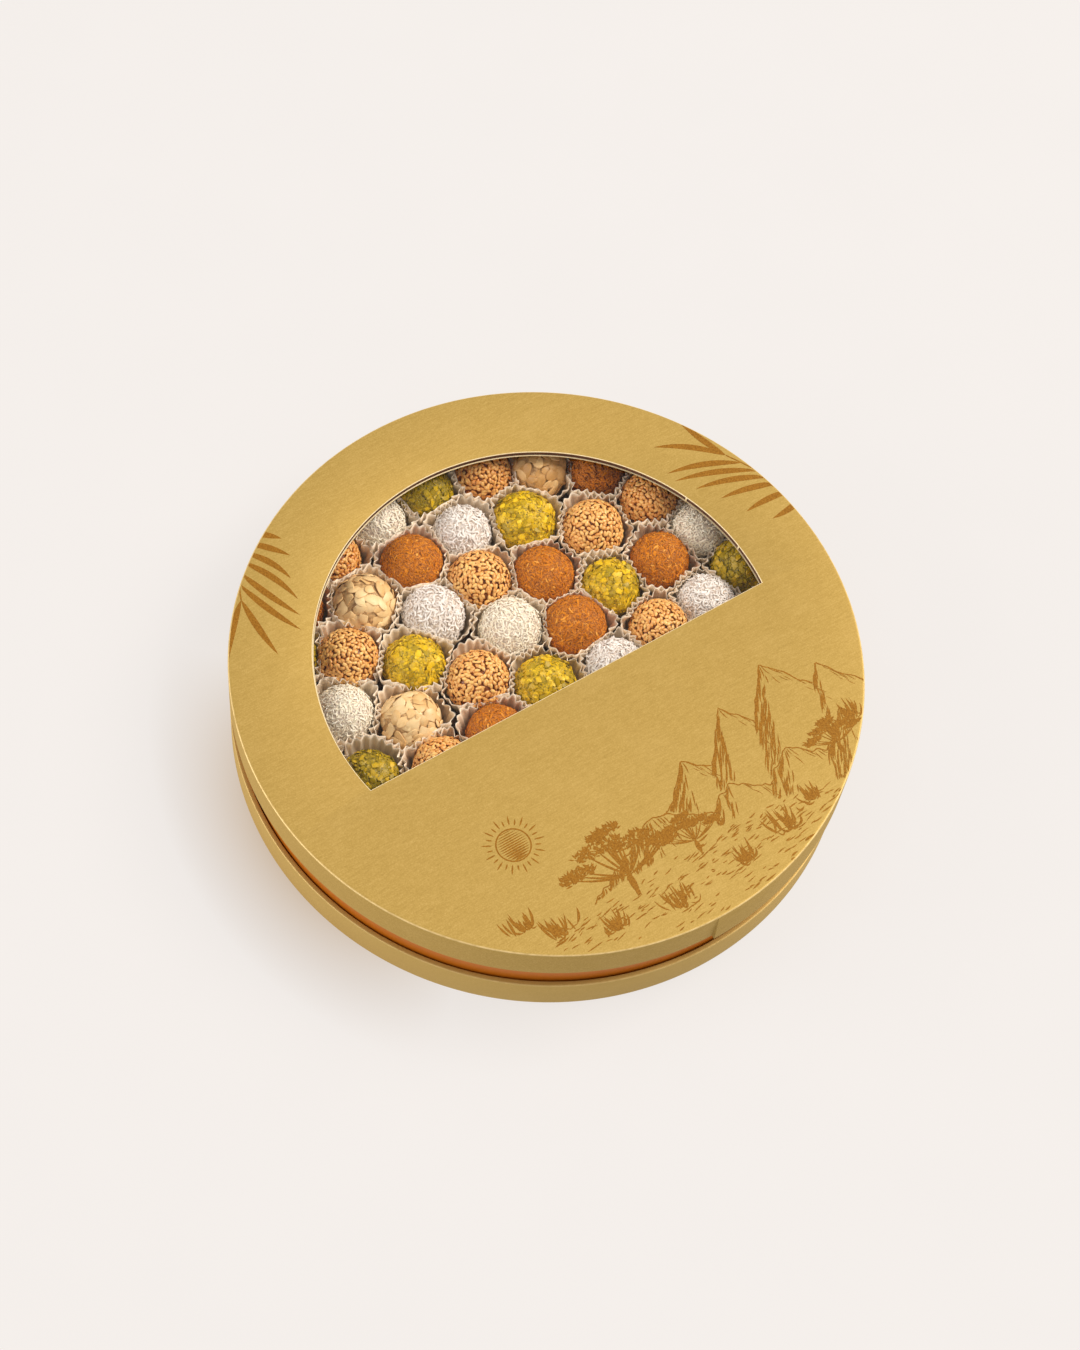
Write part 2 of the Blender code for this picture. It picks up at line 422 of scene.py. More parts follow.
def paper_case(sweet):
    """A cup of pleats, narrow at the foot and deep at the rim. It keeps outside its ball and
    within its room, and pleats that have less room are crushed deeper."""
    builder = bmesh.new()
    columns = CASE_PLEATS * CASE_STEPS
    rim_tag = builder.verts.layers.float.new("rim")
    bmesh.ops.create_cone(builder, cap_ends=True, segments=columns, radius1=1.0, radius2=1.0,
                          depth=1.0)
    bmesh.ops.delete(builder, geom=[face for face in builder.faces if face.normal.z > 0.9],
                     context="FACES_ONLY")
    bmesh.ops.subdivide_edges(builder, edges=uprights(builder, 0.5), cuts=CASE_ROWS - 1,
                              use_grid_fill=False)
    limits = [[room(sweet, math.tau * column / columns, row / CASE_ROWS)
               for column in range(columns)] for row in range(CASE_ROWS + 1)]
    for vertex in builder.verts:
        direction = math.atan2(vertex.co.y, vertex.co.x)
        rise = vertex.co.z + 0.5
        limit = limits[round(rise * CASE_ROWS)][round(direction / math.tau * columns) % columns]
        around = noise.noise(Vector((math.cos(direction), math.sin(direction),
                                     sweet.seed * 0.37)) * 2.0)
        phase = CASE_PLEATS * direction + sweet.turn + 1.6 * around
        wave = 1.0 - 2.0 * (0.5 + 0.5 * math.cos(phase)) ** 1.3
        height = rise * (CASE_HEIGHT + 3.0 * around + 0.25 * wave)
        level = sweet.foot + CASE_LIFT + height - sweet.middle
        ball = math.sqrt(max(0.0, sweet.radius ** 2 - min(level, 5.0) ** 2))
        spread = CASE_FOOT + (CASE_FLARE - CASE_FOOT) * rise ** 0.8
        inner = min(ball + 0.7, limit - 0.35)
        outer = max(min(spread + PLEAT_DEPTH * rise, limit), inner + 0.3)
        crush = PLEAT_CRUSH * max(0.0, spread - outer)
        depth = min((PLEAT_DEPTH + crush) * rise ** 0.6, 0.5 * (outer - inner))
        across = max(outer - depth, inner + depth) + depth * wave * 0.9
        vertex[rim_tag] = rise
        vertex.co = Vector((sweet.x + across * math.cos(direction),
                            sweet.y + across * math.sin(direction),
                            sweet.foot + CASE_LIFT + height)) * MM
    return builder


def case_paper():
    """Greaseproof paper, paler towards the rim, where light comes through it."""
    paper = Finish("case_paper", roughness=0.55, specular_ior_level=0.35)
    rise = paper.node("ShaderNodeAttribute", {"attribute_name": "rim"}, {}, "Fac")
    fibre = paper.noise(0.8, 3.0, 0.6)
    body = paper.mix(srgb(228, 202, 164), srgb(244, 226, 202), rise.fade(0.3, 0.9))
    body = paper.mix(body, srgb(255, 246, 232), rise.fade(0.95, 1.0) * 0.5)
    body = paper.mix(body, srgb(214, 190, 152), fibre.fade(0.5, 0.8) * 0.25)
    return paper.surface(base_color=body, normal=paper.bump(fibre, 0.04, 0.3))


case_finish = case_paper()
for sweet in sweets:
    case = finished(f"case_{sweet.key}", paper_case(sweet), (case_finish,),
                    sharp=75.0)
    wall = case.modifiers.new("paper", "SOLIDIFY")
    wall.thickness = PAPER_THICKNESS * MM
    wall.offset = 1.0


# Balls. Pressed date paste, rolled by hand, so each is a little out of round. A ball is darker
# and stickier than its coating, and shows only between the pieces that cover it.
def ball_core(sweet, detail, shrink, crags, crag_size):
    """An icosphere pushed out to the ball's uneven skin, with crags of that depth in mm."""
    builder = bmesh.new()
    bmesh.ops.create_icosphere(builder, subdivisions=detail, radius=1.0)
    shift = Vector((sweet.seed * 2.3, 0.7, 5.1))
    for vertex in builder.verts:
        direction = vertex.co.normalized()
        rough = noise.fractal(direction * (sweet.radius / crag_size) + shift, 0.8, 2.0, 3)
        vertex.co = sweet.skin(direction, shrink - crags * rough) * MM
    return builder


def paste(name, dark, light, size, roughness=0.5, specks=None):
    """Date paste or a fine coating, mottled between two colours in patches of size mm."""
    stuff = Finish(name, roughness=roughness, specular_ior_level=0.4)
    patches = stuff.noise(size, 4.0, 0.65)
    body = stuff.mix(dark, light, patches.fade(0.35, 0.65))
    if specks:
        spots = stuff.noise(size * 1.7, 2.0, 0.5, (1.0, 1.0, 1.3))
        body = stuff.mix(body, specks, spots.fade(0.66, 0.7))
    return stuff.surface(base_color=body, normal=stuff.bump(patches, 0.35, 0.8))


# Each coating's core: steps of detail, how far below the skin in mm, the depth and the size of
# its crags in mm, and its finish.
CORES = {
    "sesame": (3, 0.7, 0.1, 2.5, paste("sesame_syrup", srgb(112, 56, 8), srgb(172, 90, 18),
                                       1.6, 0.3)),
    "coconut": (3, 0.6, 0.2, 2.5, paste("coconut_ground", srgb(204, 186, 170),
                                        srgb(240, 226, 212), 1.4, 0.7)),
    "pistachio": (5, 0.1, 0.9, 3.4, paste("pistachio_meal", srgb(166, 134, 6),
                                         srgb(246, 204, 18), 1.1, 0.45, srgb(64, 54, 10))),
    "almond": (4, 0.5, 0.2, 2.5, paste("almond_ground", srgb(150, 108, 62), srgb(226, 184, 126),
                                      2.0, 0.5)),
    "crumb": (5, 0.1, 0.65, 1.6, paste("crumb_ground", srgb(112, 52, 6), srgb(218, 132, 34),
                                      0.8, 0.75)),
}
# By the wall a pistachio ball's meal is olive and darker: partly its own colour, partly painted
# shade.
olive_shaded_meal = paste("olive_pistachio_meal", srgb(112, 94, 4), srgb(176, 148, 8), 1.1, 0.45,
                   srgb(64, 54, 10))
for sweet in sweets:
    detail, shrink, crags, crag_size, finish = CORES[sweet.coating]
    if sweet.coating == "pistachio" and sweet.dark > 0.5:
        finish = olive_shaded_meal
    finished(f"ball_{sweet.key}", ball_core(sweet, detail, shrink, crags, crag_size), (finish,),
             (sweet.node,), sharp=60.0)


# Sesame seeds. Whole toasted seeds, flat drops about 3 mm long, rolled on in one close layer.
# They lie any way round and are tipped a little.
def shape_of(builder):
    """A small shape's points and triangles, for copying."""
    bmesh.ops.triangulate(builder, faces=builder.faces)
    builder.verts.index_update()
    points = np.array([vertex.co for vertex in builder.verts])
    faces = np.array([[vertex.index for vertex in face.verts] for face in builder.faces])
    builder.free()
    return points, faces


def cap_directions(sweet, count, lowest):
    """Even directions over the top of a ball, down to lowest degrees, each a little off."""
    reach = 1.0 - math.sin(math.radians(lowest))
    spacing = math.sqrt(math.tau * reach / count)
    for number in range(count):
        rise = 1.0 - reach * (number + 0.5) / count
        spin = number * math.pi * (3.0 - math.sqrt(5.0)) + sweet.turn
        flat = math.sqrt(max(0.0, 1.0 - rise * rise))
        shift = Vector([sweet.draw.gauss(0.0, 0.2) * spacing for _ in range(3)])
        yield (Vector((flat * math.cos(spin), flat * math.sin(spin), rise)) + shift).normalized()


def lie(sweet, direction, shrink, tilt):
    """Axes and place of a small piece lying on a ball: its length turned any way, its
    thickness along the direction, tipped by up to tilt degrees."""
    draw = sweet.draw
    side = direction.orthogonal().normalized()
    side.rotate(Matrix.Rotation(draw.uniform(0.0, math.tau), 3, direction))
    up = direction.copy()
    up.rotate(Matrix.Rotation(math.radians(draw.uniform(-tilt, tilt)), 3, side))
    side.rotate(Matrix.Rotation(math.radians(draw.uniform(-tilt, tilt)), 3,
                                direction.cross(side)))
    across = up.cross(side).normalized()
    up = side.cross(across)
    return np.array((side, across, up)), np.array(sweet.skin(direction, shrink))


def strew(name, shapes, pieces, finish, sharp=60.0, shade=0.3):
    """One mesh of many small pieces, each (shape number, axes, place, scale, tone). A piece's
    underside is painted darker than its top by shade of the tones: painted shade."""
    points, faces, tones, offset = [], [], [], 0
    for number, axes, place, scale, tone in pieces:
        shape_points, shape_faces = shapes[number]
        points.append((shape_points * scale) @ axes + place)
        faces.append(shape_faces + offset)
        heights = shape_points[:, 2]
        raised = (heights - heights.min()) / (heights.max() - heights.min())
        tones.append(((1.0 - shade) * tone + shade * raised).astype(np.float32))
        offset += len(shape_points)
    mesh = bpy.data.meshes.new(name)
    mesh.from_pydata(np.concatenate(points) * MM, [], np.concatenate(faces))
    mesh.attributes.new("tone", "FLOAT", "POINT").data.foreach_set("value", np.concatenate(tones))
    return dressed(name, mesh, (finish,), sharp=sharp)


def rolled_on(coating, shapes, count, lowest, proud, tilt, sizes, darker):
    """Pieces for strew: count of them on each ball in that coating, from its top down to lowest
    degrees, up to proud mm out of its skin, of a size between the two sizes, and with a tone
    that is less by darker at the wall, as painted shade."""
    pieces = []
    for sweet in sweets:
        if sweet.coating != coating:
            continue
        for direction in cap_directions(sweet, count, lowest):
            axes, place = lie(sweet, direction, sweet.draw.uniform(-proud, 0.4), tilt)
            size = sweet.draw.uniform(*sizes)
            shape, tone = sweet.draw.randrange(len(shapes)), sweet.draw.random()
            pieces.append((shape, axes, place, size, tone - darker * sweet.dark))
    return pieces


SEED_WIDTH = 0.6
SEEDS_PER_BALL = 400


def seed_shape(taper, thick):
    """A drop 2 long and 1.2 across, rounder at one end."""
    builder = bmesh.new()
    bmesh.ops.create_uvsphere(builder, u_segments=6, v_segments=4, radius=1.0,
                              matrix=Matrix.Rotation(math.radians(90.0), 4, "Y"))
    for vertex in builder.verts:
        slim = 1.0 - taper * vertex.co.x
        vertex.co.y *= SEED_WIDTH * slim
        vertex.co.z *= thick * slim
    return shape_of(builder)


def toned(name, tones, roughness, gloss, grain, depth, speck=None):
    """A finish whose colour goes through tones, (position, colour), by each piece's tone."""
    stuff = Finish(name, roughness=roughness, specular_ior_level=gloss)
    tone = stuff.node("ShaderNodeAttribute", {"attribute_name": "tone"}, {}, "Fac")
    body = tones[0][1]
    for (start, _), (end, colour) in zip(tones, tones[1:]):
        body = stuff.mix(body, colour, tone.fade(start, end))
    mottle = stuff.noise(grain, 3.0, 0.6)
    if speck:
        body = stuff.mix(body, speck, mottle.fade(0.52, 0.75) * 0.5)
    return stuff.surface(base_color=body, normal=stuff.bump(mottle, depth, 0.6))


seed_finish = toned("toasted_seed", ((0.15, srgb(122, 50, 2)), (0.4, srgb(214, 128, 38)),
                                     (0.95, srgb(252, 206, 124))), 0.3, 0.6, 0.9, 0.06,
                    srgb(206, 124, 36))
seed_shapes = [seed_shape(taper, thick) for taper, thick in ((0.3, 0.36), (0.22, 0.41),
                                                             (0.38, 0.34), (0.12, 0.38))]
seeds = rolled_on("sesame", seed_shapes, SEEDS_PER_BALL, -8.0, 0.2, 16.0, (1.45, 1.8), 0.35)
strew("sesame_seeds", seed_shapes, seeds, seed_finish, shade=0.65)


# Coconut. Desiccated shreds, thin and curled, rolled on deep. Some balls are in bleached white
# coconut and some in a creamier one with shorter shreds.
SHREDS_PER_BALL = 900


def shred_shape(curl, twist, width, lean):
    """A flat three-sided shred, 2 long, bent through curl degrees and twisted. It bends
    sideways where lean is 0 degrees, and down into the ball where it is -90."""
    builder = bmesh.new()
    bmesh.ops.create_cone(builder, cap_ends=True, segments=3, radius1=1.0, radius2=0.8,
                          depth=2.0)
    bmesh.ops.subdivide_edges(builder, edges=uprights(builder, 1.0), cuts=2)
    bend = math.radians(curl)
    radius = 2.0 / bend
    tip = Matrix.Rotation(math.radians(lean), 3, "X")
    for vertex in builder.verts:
        along = vertex.co.z
        angle = 0.5 * bend * along
        side = Matrix.Rotation(twist * along, 2) @ Vector((vertex.co.x * width,
                                                           vertex.co.y * 0.1))
        middle = tip @ Vector((radius * math.sin(angle), radius * (1.0 - math.cos(angle)), 0.0))
        vertex.co = middle + Vector((0.0, side.x, side.y))
    bmesh.ops.recalc_face_normals(builder, faces=builder.faces)
    return shape_of(builder)


WHITE_COCONUT = {"1_05", "2_05", "2_09", "3_01", "3_05"}
shred_shapes = [shred_shape(*form) for form in (
    (60.0, 0.3, 0.34, 0.0), (95.0, -0.5, 0.28, -30.0), (120.0, 0.2, 0.3, -90.0),
    (80.0, 0.9, 0.24, -60.0), (140.0, 0.4, 0.26, 20.0))]
COCONUTS = (
    ("white_coconut", True, 2.1, 24.0, (
        (0.1, srgb(196, 180, 172)), (0.5, srgb(242, 232, 224)), (1.0, srgb(252, 248, 244)))),
    ("cream_coconut", False, 1.8, 18.0, (
        (0.0, srgb(226, 204, 174)), (0.3, srgb(251, 239, 214)), (1.0, srgb(254, 248, 232)))),
)
for name, white, length, tilt, tones in COCONUTS:
    finish = toned(name, tones, 0.6, 0.35, 0.6, 0.05)
    shreds = []
    for sweet in sweets:
        if sweet.coating != "coconut" or (sweet.key in WHITE_COCONUT) != white:
            continue
        for direction in cap_directions(sweet, SHREDS_PER_BALL, -8.0):
            # Shreds that lie deeper get a lower tone: painted shade down among the shreds.
            depth = sweet.draw.uniform(0.0, 1.1)
            axes, place = lie(sweet, direction, depth - 0.3, tilt)
            size = length * sweet.draw.uniform(0.5, 1.1)
            shape = sweet.draw.randrange(len(shred_shapes))
            shreds.append((shape, axes, place, size, 1.0 - 0.8 * depth))
    strew(f"{name}_shreds", shred_shapes, shreds, finish)


# Pistachio. Chopped kernels, from meal to lumps of 5 mm, bright yellow-green with a few dark
# green pieces and flecks of brown skin. By the wall the balls are olive and darker: partly
# their own colour, partly painted shade of the lid.
CHIPS_PER_BALL = 600
SPECK_SHARE = 0.3
SPECK_SIZE = 0.34


def chip_shape(seed, flat):
    """A chopped lump, 2 across and flattened, with broken faces."""
    builder = bmesh.new()
    bmesh.ops.create_icosphere(builder, subdivisions=1, radius=1.0)
    for vertex in builder.verts:
        wobble = 1.0 + 0.35 * noise.noise(vertex.co * 1.3 + Vector((seed * 3.7, 1.0, 2.0)))
        vertex.co = vertex.co * wobble
        vertex.co.z *= flat
    return shape_of(builder)


chip_shapes = [chip_shape(seed, flat) for seed, flat in enumerate((0.3, 0.45, 0.25, 0.35, 0.5))]
pistachio_finish = toned("chopped_pistachio", (
    (0.0, srgb(40, 34, 6)), (0.1, srgb(88, 86, 6)), (0.25, srgb(154, 132, 2)),
    (0.5, srgb(204, 166, 2)), (0.8, srgb(238, 194, 6)), (1.0, srgb(252, 216, 44))),
    0.36, 0.4, 0.6, 0.3, srgb(120, 100, 2))
chips = []
for sweet in (sweet for sweet in sweets if sweet.coating == "pistachio"):
    # By the wall the chips are lower in tone: partly olive colour of their own, partly painted
    # shade.
    ripeness_and_shade = sweet.draw.uniform(0.85, 1.65) * (1.0 + 2.2 * sweet.dark)
    for direction in cap_directions(sweet, CHIPS_PER_BALL, -8.0):
        speck = sweet.draw.random() < SPECK_SHARE
        axes, place = lie(sweet, direction, sweet.draw.uniform(-0.5, -0.2 if speck else 0.4), 26.0)
        size = SPECK_SIZE if speck else 0.6 + 1.5 * sweet.draw.random() ** 2.0
        scale = np.array((size * sweet.draw.uniform(0.9, 1.6), size, size if speck else 0.8 * size))
        tone = 0.0 if speck else 0.1 + 0.9 * sweet.draw.random() ** ripeness_and_shade
        tone = max(0.14 * sweet.dark, tone - 0.3 * sweet.dark)
        chips.append((sweet.draw.randrange(len(chip_shapes)), axes, place, scale, tone))
strew("pistachio_chips", chip_shapes, chips, pistachio_finish, sharp=25.0)


# Almond. Thin flakes sliced from the kernel, 7 to 10 mm long, pressed on like tiles. Each
# bends to the ball and lifts a little at one side.
FLAKES_PER_BALL = 74
FLAKE_THICKNESS = 0.13
FLAKE_HOLLOW = 0.13


def flake_shape(seed):
    """A thin oval slice, 2 long, with an uneven edge and a slight hollow."""
    builder = bmesh.new()
    bmesh.ops.create_cone(builder, cap_ends=True, segments=18, radius1=1.0, radius2=0.97,
                          depth=FLAKE_THICKNESS)
    for vertex in builder.verts:
        around = math.atan2(vertex.co.y, vertex.co.x)
        wobble = 1.0 + 0.16 * noise.noise(Vector((math.cos(around), math.sin(around),
                                                  seed * 2.1)) * 1.5)
        vertex.co.x *= wobble
        vertex.co.y *= wobble * (0.64 - 0.1 * vertex.co.x)
        if seed % 3 == 2:
            ragged = 0.1 * noise.noise(Vector((vertex.co.y * 4.0, seed, 0.0)))
            vertex.co.x = min(vertex.co.x, 0.3 + ragged)
    bmesh.ops.bevel(builder, geom=[edge for edge in builder.edges if len(edge.link_faces) == 2
                                   and edge.calc_face_angle(0.0) > 0.5],
                    offset=0.03, segments=1, profile=0.5, material=-1, affect="EDGES")
    bmesh.ops.poke(builder, faces=[face for face in builder.faces if len(face.verts) > 8])
    for vertex in builder.verts:
        vertex.co.z -= FLAKE_HOLLOW * (vertex.co.x ** 2 + vertex.co.y ** 2)
    return shape_of(builder)


flake_shapes = [flake_shape(seed) for seed in range(6)]
flake_finish = toned("almond_flake", ((0.0, srgb(204, 154, 88)), (0.3, srgb(234, 192, 130)),
                                      (1.0, srgb(251, 222, 170))), 0.42, 0.5, 2.5, 0.08,
                     srgb(222, 178, 116))
flakes = rolled_on("almond", flake_shapes, FLAKES_PER_BALL, -12.0, 0.4, 15.0, (3.3, 4.9), 0.8)
strew("almond_flakes", flake_shapes, flakes, flake_finish, sharp=40.0)


# Crumb. Fine toasted crumbs and short threads, orange-brown, with a few pale ones. They are
# rolled on in one dense layer over a rough ground of the finest crumbs.
THREADS_PER_BALL = 1000
thread_shapes = [shred_shape(*form) for form in (
    (15.0, 0.2, 0.34, 0.0), (35.0, -0.3, 0.24, -90.0), (60.0, 0.6, 0.42, -40.0))]
crumb_finish = toned("toasted_crumb", ((0.0, srgb(76, 32, 2)), (0.25, srgb(190, 106, 8)),
                                       (0.85, srgb(222, 136, 24)), (1.0, srgb(246, 184, 88))),
                     0.6, 0.2, 0.6, 0.08, srgb(158, 82, 2))
threads = rolled_on("crumb", thread_shapes, THREADS_PER_BALL, -6.0, 0.2, 16.0, (0.8, 1.8), 0.5)
strew("toasted_crumbs", thread_shapes, threads, crumb_finish)


# Lid. A board with a D-shaped hole, and a strip of board bent round its edge for a skirt, all
# wrapped in the base's gold paper. One end of the strip laps over the other at the front and
# stands a little proud there. The hole's cut edge shows the brown board.
lid_low, lid_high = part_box("lid_top")
LID_TOP = lid_high.z / MM
BOARD_BOTTOM = lid_low.z / MM
SKIRT_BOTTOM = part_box("lid_skirt")[0].z / MM
WINDOW_CENTRE = Vector((1.8, 2.7))
WINDOW_RADIUS = 111.0
CHORD_Y = -17.0
WINDOW_STEPS = 144
NEAR_WINDOW = WINDOW_RADIUS + 5.0
SAME_HEIGHT = 0.01
SEAM = -92.0
SEAM_STEP = 0.12
LAP_LENGTH = 62.0
LAP_PROUD = 1.6
LAP_DROP = 1.3


def on_arc(grow, angle, height):
    """A point on the window's arc, grow outside it."""
    radius = WINDOW_RADIUS + grow
    return Vector((WINDOW_CENTRE.x + radius * math.cos(angle),
                   WINDOW_CENTRE.y + radius * math.sin(angle), height)) * MM


def window_edge(builder, grow, height):
    """The edges of the window's D, larger all round by grow, at that height."""
    corner = math.asin((CHORD_Y - grow - WINDOW_CENTRE.y) / (WINDOW_RADIUS + grow))
    sweep = math.pi - 2.0 * corner
    points = [builder.verts.new(on_arc(grow, corner + sweep * step / WINDOW_STEPS, height))
              for step in range(WINDOW_STEPS + 1)]
    return [builder.edges.new(pair) for pair in zip(points, points[1:] + points[:1])]


def pulled_up(builder, items, height):
    """Extrude edges or faces up by height mm, and give back what the pull made."""
    if isinstance(items[0], bmesh.types.BMEdge):
        made = bmesh.ops.extrude_edge_only(builder, edges=items)["geom"]
    else:
        made = bmesh.ops.extrude_face_region(builder, geom=items, use_keep_orig=True)["geom"]
    bmesh.ops.translate(builder, vec=(0.0, 0.0, height * MM),
                        verts=[item for item in made if isinstance(item, bmesh.types.BMVert)])
    bmesh.ops.recalc_face_normals(builder, faces=builder.faces)
    return made


lid = turn(soften((
    (BOX_RADIUS - 1.6, LID_TOP, 0.0),
    (BOX_RADIUS, LID_TOP, 0.8),
    (BOX_RADIUS, SKIRT_BOTTOM, 0.5),
    (BOX_RADIUS - BOARD, SKIRT_BOTTOM, 0.4),
    (BOX_RADIUS - BOARD, BOARD_BOTTOM, 0.0),
)), start=SEAM)
bmesh.ops.subdivide_edges(lid, edges=uprights(lid, 5.0 * MM), cuts=3)
pulled_up(lid, window_edge(lid, 0.0, BOARD_BOTTOM), LID_TOP - BOARD_BOTTOM)
for height in (LID_TOP, BOARD_BOTTOM):
    rims = [edge for edge in lid.edges if edge.is_boundary
            and abs(edge.verts[0].co.z - height * MM) < SAME_HEIGHT * MM]
    bmesh.ops.triangle_fill(lid, edges=rims, use_beauty=True)
bmesh.ops.recalc_face_normals(lid, faces=lid.faces)

# Points just before the seam are drawn up to it and those after it are bent out, so that the
# lapping end makes a crisp step.
for vertex in lid.verts:
    along = (math.degrees(math.atan2(vertex.co.y, vertex.co.x)) - SEAM) % 360.0
    if along > 359.9:
        along = 0.0
    if along > 358.0:
        swing = math.radians(360.0 - SEAM_STEP - along)
        vertex.co = Matrix.Rotation(swing, 3, "Z") @ vertex.co
        along = 360.0 - SEAM_STEP
    below = max(0.0, LID_TOP - 1.0 - vertex.co.z / MM) / (LID_TOP - SKIRT_BOTTOM)
    if below > 0.0 and along < LAP_LENGTH and vertex.co.xy.length > (BOX_RADIUS - 3.0) * MM:
        ease = (1.0 - along / LAP_LENGTH) ** 1.3
        stretch = 1.0 + ease * LAP_PROUD * (0.25 + 0.75 * below) / BOX_RADIUS
        vertex.co.x *= stretch
        vertex.co.y *= stretch
        vertex.co.z -= ease * LAP_DROP * below * MM


def on_window(edge, height):
    """Whether an edge runs round the window at that height."""
    level = all(abs(vertex.co.z - height * MM) < SAME_HEIGHT * MM for vertex in edge.verts)
    inside = all(vertex.co.xy.length < NEAR_WINDOW * MM for vertex in edge.verts)
    return level and inside and abs(edge.calc_face_angle(0.0)) > 1.0


# The window's top edge is bevelled in cream paper: the paper's pale cut core, with a painted
# highlight along the edge.
bmesh.ops.bevel(lid, geom=[edge for edge in lid.edges if on_window(edge, LID_TOP)],
                offset=0.35 * MM, segments=2, profile=0.5, material=1, affect="EDGES")
for face in lid.faces:
    middle = face.calc_center_median() / MM
    upright = abs(face.normal.z) < 0.2
    if upright and BOARD_BOTTOM < middle.z and middle.xy.length < NEAR_WINDOW:
        face.material_index = 2

lid_paper = gold_paper("lid_gold_paper", ((BOX_RADIUS, LID_TOP, 0.9),))
cut_paper = plain_finish("cut_paper", srgb(222, 200, 152), srgb(244, 228, 192), 0.6, 0.6)
board_core = plain_finish("board_core", srgb(74, 48, 36), srgb(104, 72, 56), 0.8, 0.8)
finished("lid_shell", lid, (lid_paper, cut_paper, board_core),
         ("lid_top", "lid_skirt"))


# Print. Brown ink on the lid's paper: a leaf spray at either side, run off the edge, and over
# the closed part a hatched picture of mountains, a low sun, umbrella trees and tufts of grass.
PRINT_EDGE = BOX_RADIUS - 0.7
INK_LOWEST = 0.01
INK_DEPTH = 0.04
GOLDEN_SHARE = 0.618034
inked = []


def ribbon(points, widths):
    """A flat stroke along points, of those widths, kept on the lid."""
    points = np.asarray(points, float)
    ahead = np.gradient(points, axis=0)
    across = np.stack((-ahead[:, 1], ahead[:, 0]), axis=1)
    across *= 0.5 * np.asarray(widths)[:, None] / np.linalg.norm(across, axis=1)[:, None]
    sides = np.stack((points + across, points - across), axis=1)
    reach = np.linalg.norm(sides, axis=2, keepdims=True)
    inked.append(sides * np.minimum(1.0, PRINT_EDGE / reach))


def towards(heading):
    """The direction on the lid that is heading degrees round from X."""
    return np.array((math.cos(math.radians(heading)), math.sin(math.radians(heading))))


def leaf(start, heading, length, width, bend=0.0, steps=8):
    """A stroke pointed at both ends, bowed to the left of its heading by bend."""
    share = np.linspace(0.0, 1.0, steps + 1)
    along = towards(heading)
    side = np.array((-along[1], along[0]))
    bow = 4.0 * bend * share * (1.0 - share)
    points = np.asarray(start) + np.outer(share * length, along) + np.outer(bow, side)
    ribbon(points, 0.05 + width * np.sin(math.pi * share ** 0.85) ** 0.8)


# A spray's leaves, from the rim inwards along its rib: share of the rib, heading, length, bend.
LEFT_SPRAY = (((-88.0, 128.0), (-102.9, 117.2), (-109.5, 98.5)), (
    (0.0, -40.0, 15.0, 0.6), (0.15, -48.0, 22.0, 0.8), (0.3, -62.0, 27.0, 2.2),
    (0.44, -67.0, 34.0, 2.2), (0.6, -69.0, 37.0, -0.8), (0.78, -70.0, 38.0, -1.2),
    (1.0, -89.0, 34.0, -0.8), (1.0, -130.0, 32.0, -1.0)))
RIGHT_SPRAY = (((158.0, 13.0), (148.0, 33.0), (137.0, 51.5)), (
    (0.0, -172.0, 22.0, 1.0), (0.14, 178.0, 28.0, -1.2), (0.3, 167.0, 32.0, -1.4),
    (0.44, 161.0, 38.0, -2.0), (0.6, 159.0, 42.0, -2.2), (0.8, 160.0, 38.0, -2.2),
    (1.0, 143.0, 36.0, -2.4), (1.0, 108.0, 30.0, 0.8)))
LEAF_WIDTH = 3.3
for (begin, control, end), leaves in (LEFT_SPRAY, RIGHT_SPRAY):
    begin, control, end = np.array(begin), np.array(control), np.array(end)

    def rib(share):
        return (1 - share) ** 2 * begin + 2 * share * (1 - share) * control + share ** 2 * end

    for share, heading, length, bend in leaves:
        leaf(rib(share), heading, length, LEAF_WIDTH, bend, 12)
    ribbon([rib(share) for share in np.linspace(0.55, 1.0, 12)], np.full(12, 0.7))

# Two ranges, back to front. A peak is its place along X, its height on the lid and its spread.
RANGES = (
    ((84.0, -53.0, 40.0), (54.0, -63.0, 34.0), (108.0, -66.0, 30.0), (24.0, -77.0, 30.0)),
    ((-4.0, -93.0, 46.0), (36.0, -97.0, 30.0), (70.0, -95.0, 28.0), (104.0, -92.0, 30.0)),
)
RANGE_FEET = (-104.0, -116.0)
GROUND_TOP = -113.0
etching = random.Random(7)


def crest(number, x):
    """The height of a range's skyline at x."""
    foot = RANGE_FEET[number]
    top = max((peak - foot) * (1.0 - abs(x - middle) / spread)
              for middle, peak, spread in RANGES[number])
    rough = noise.fractal(Vector((x * 0.16, 5.0 * number, 0.0)), 0.9, 2.0, 3)
    return foot + max(0.0, top) + 2.2 * rough


def ground(x):
    """The height of the ground's far edge at x."""
    return GROUND_TOP + 3.0 * noise.noise(Vector((x * 0.03, 9.0, 0.0))) - 0.0016 * x * x


def hidden(number, x, y):
    """Whether something nearer than a range covers that point."""
    nearer = [crest(near, x) for near in range(number + 1, len(RANGES))]
    return y < max(nearer + [ground(x)])


def hatch(number, start, heading, length, width):
    """A stroke on a range's side, which stops where something nearer covers it."""
    along = Vector(towards(heading))
    while length > 1.2:
        tip = Vector(start) + along * length
        if not hidden(number, tip.x, tip.y - 0.8):
            leaf(start, heading, length, width, etching.uniform(-0.4, 0.4), 4)
            return
        length -= 0.8


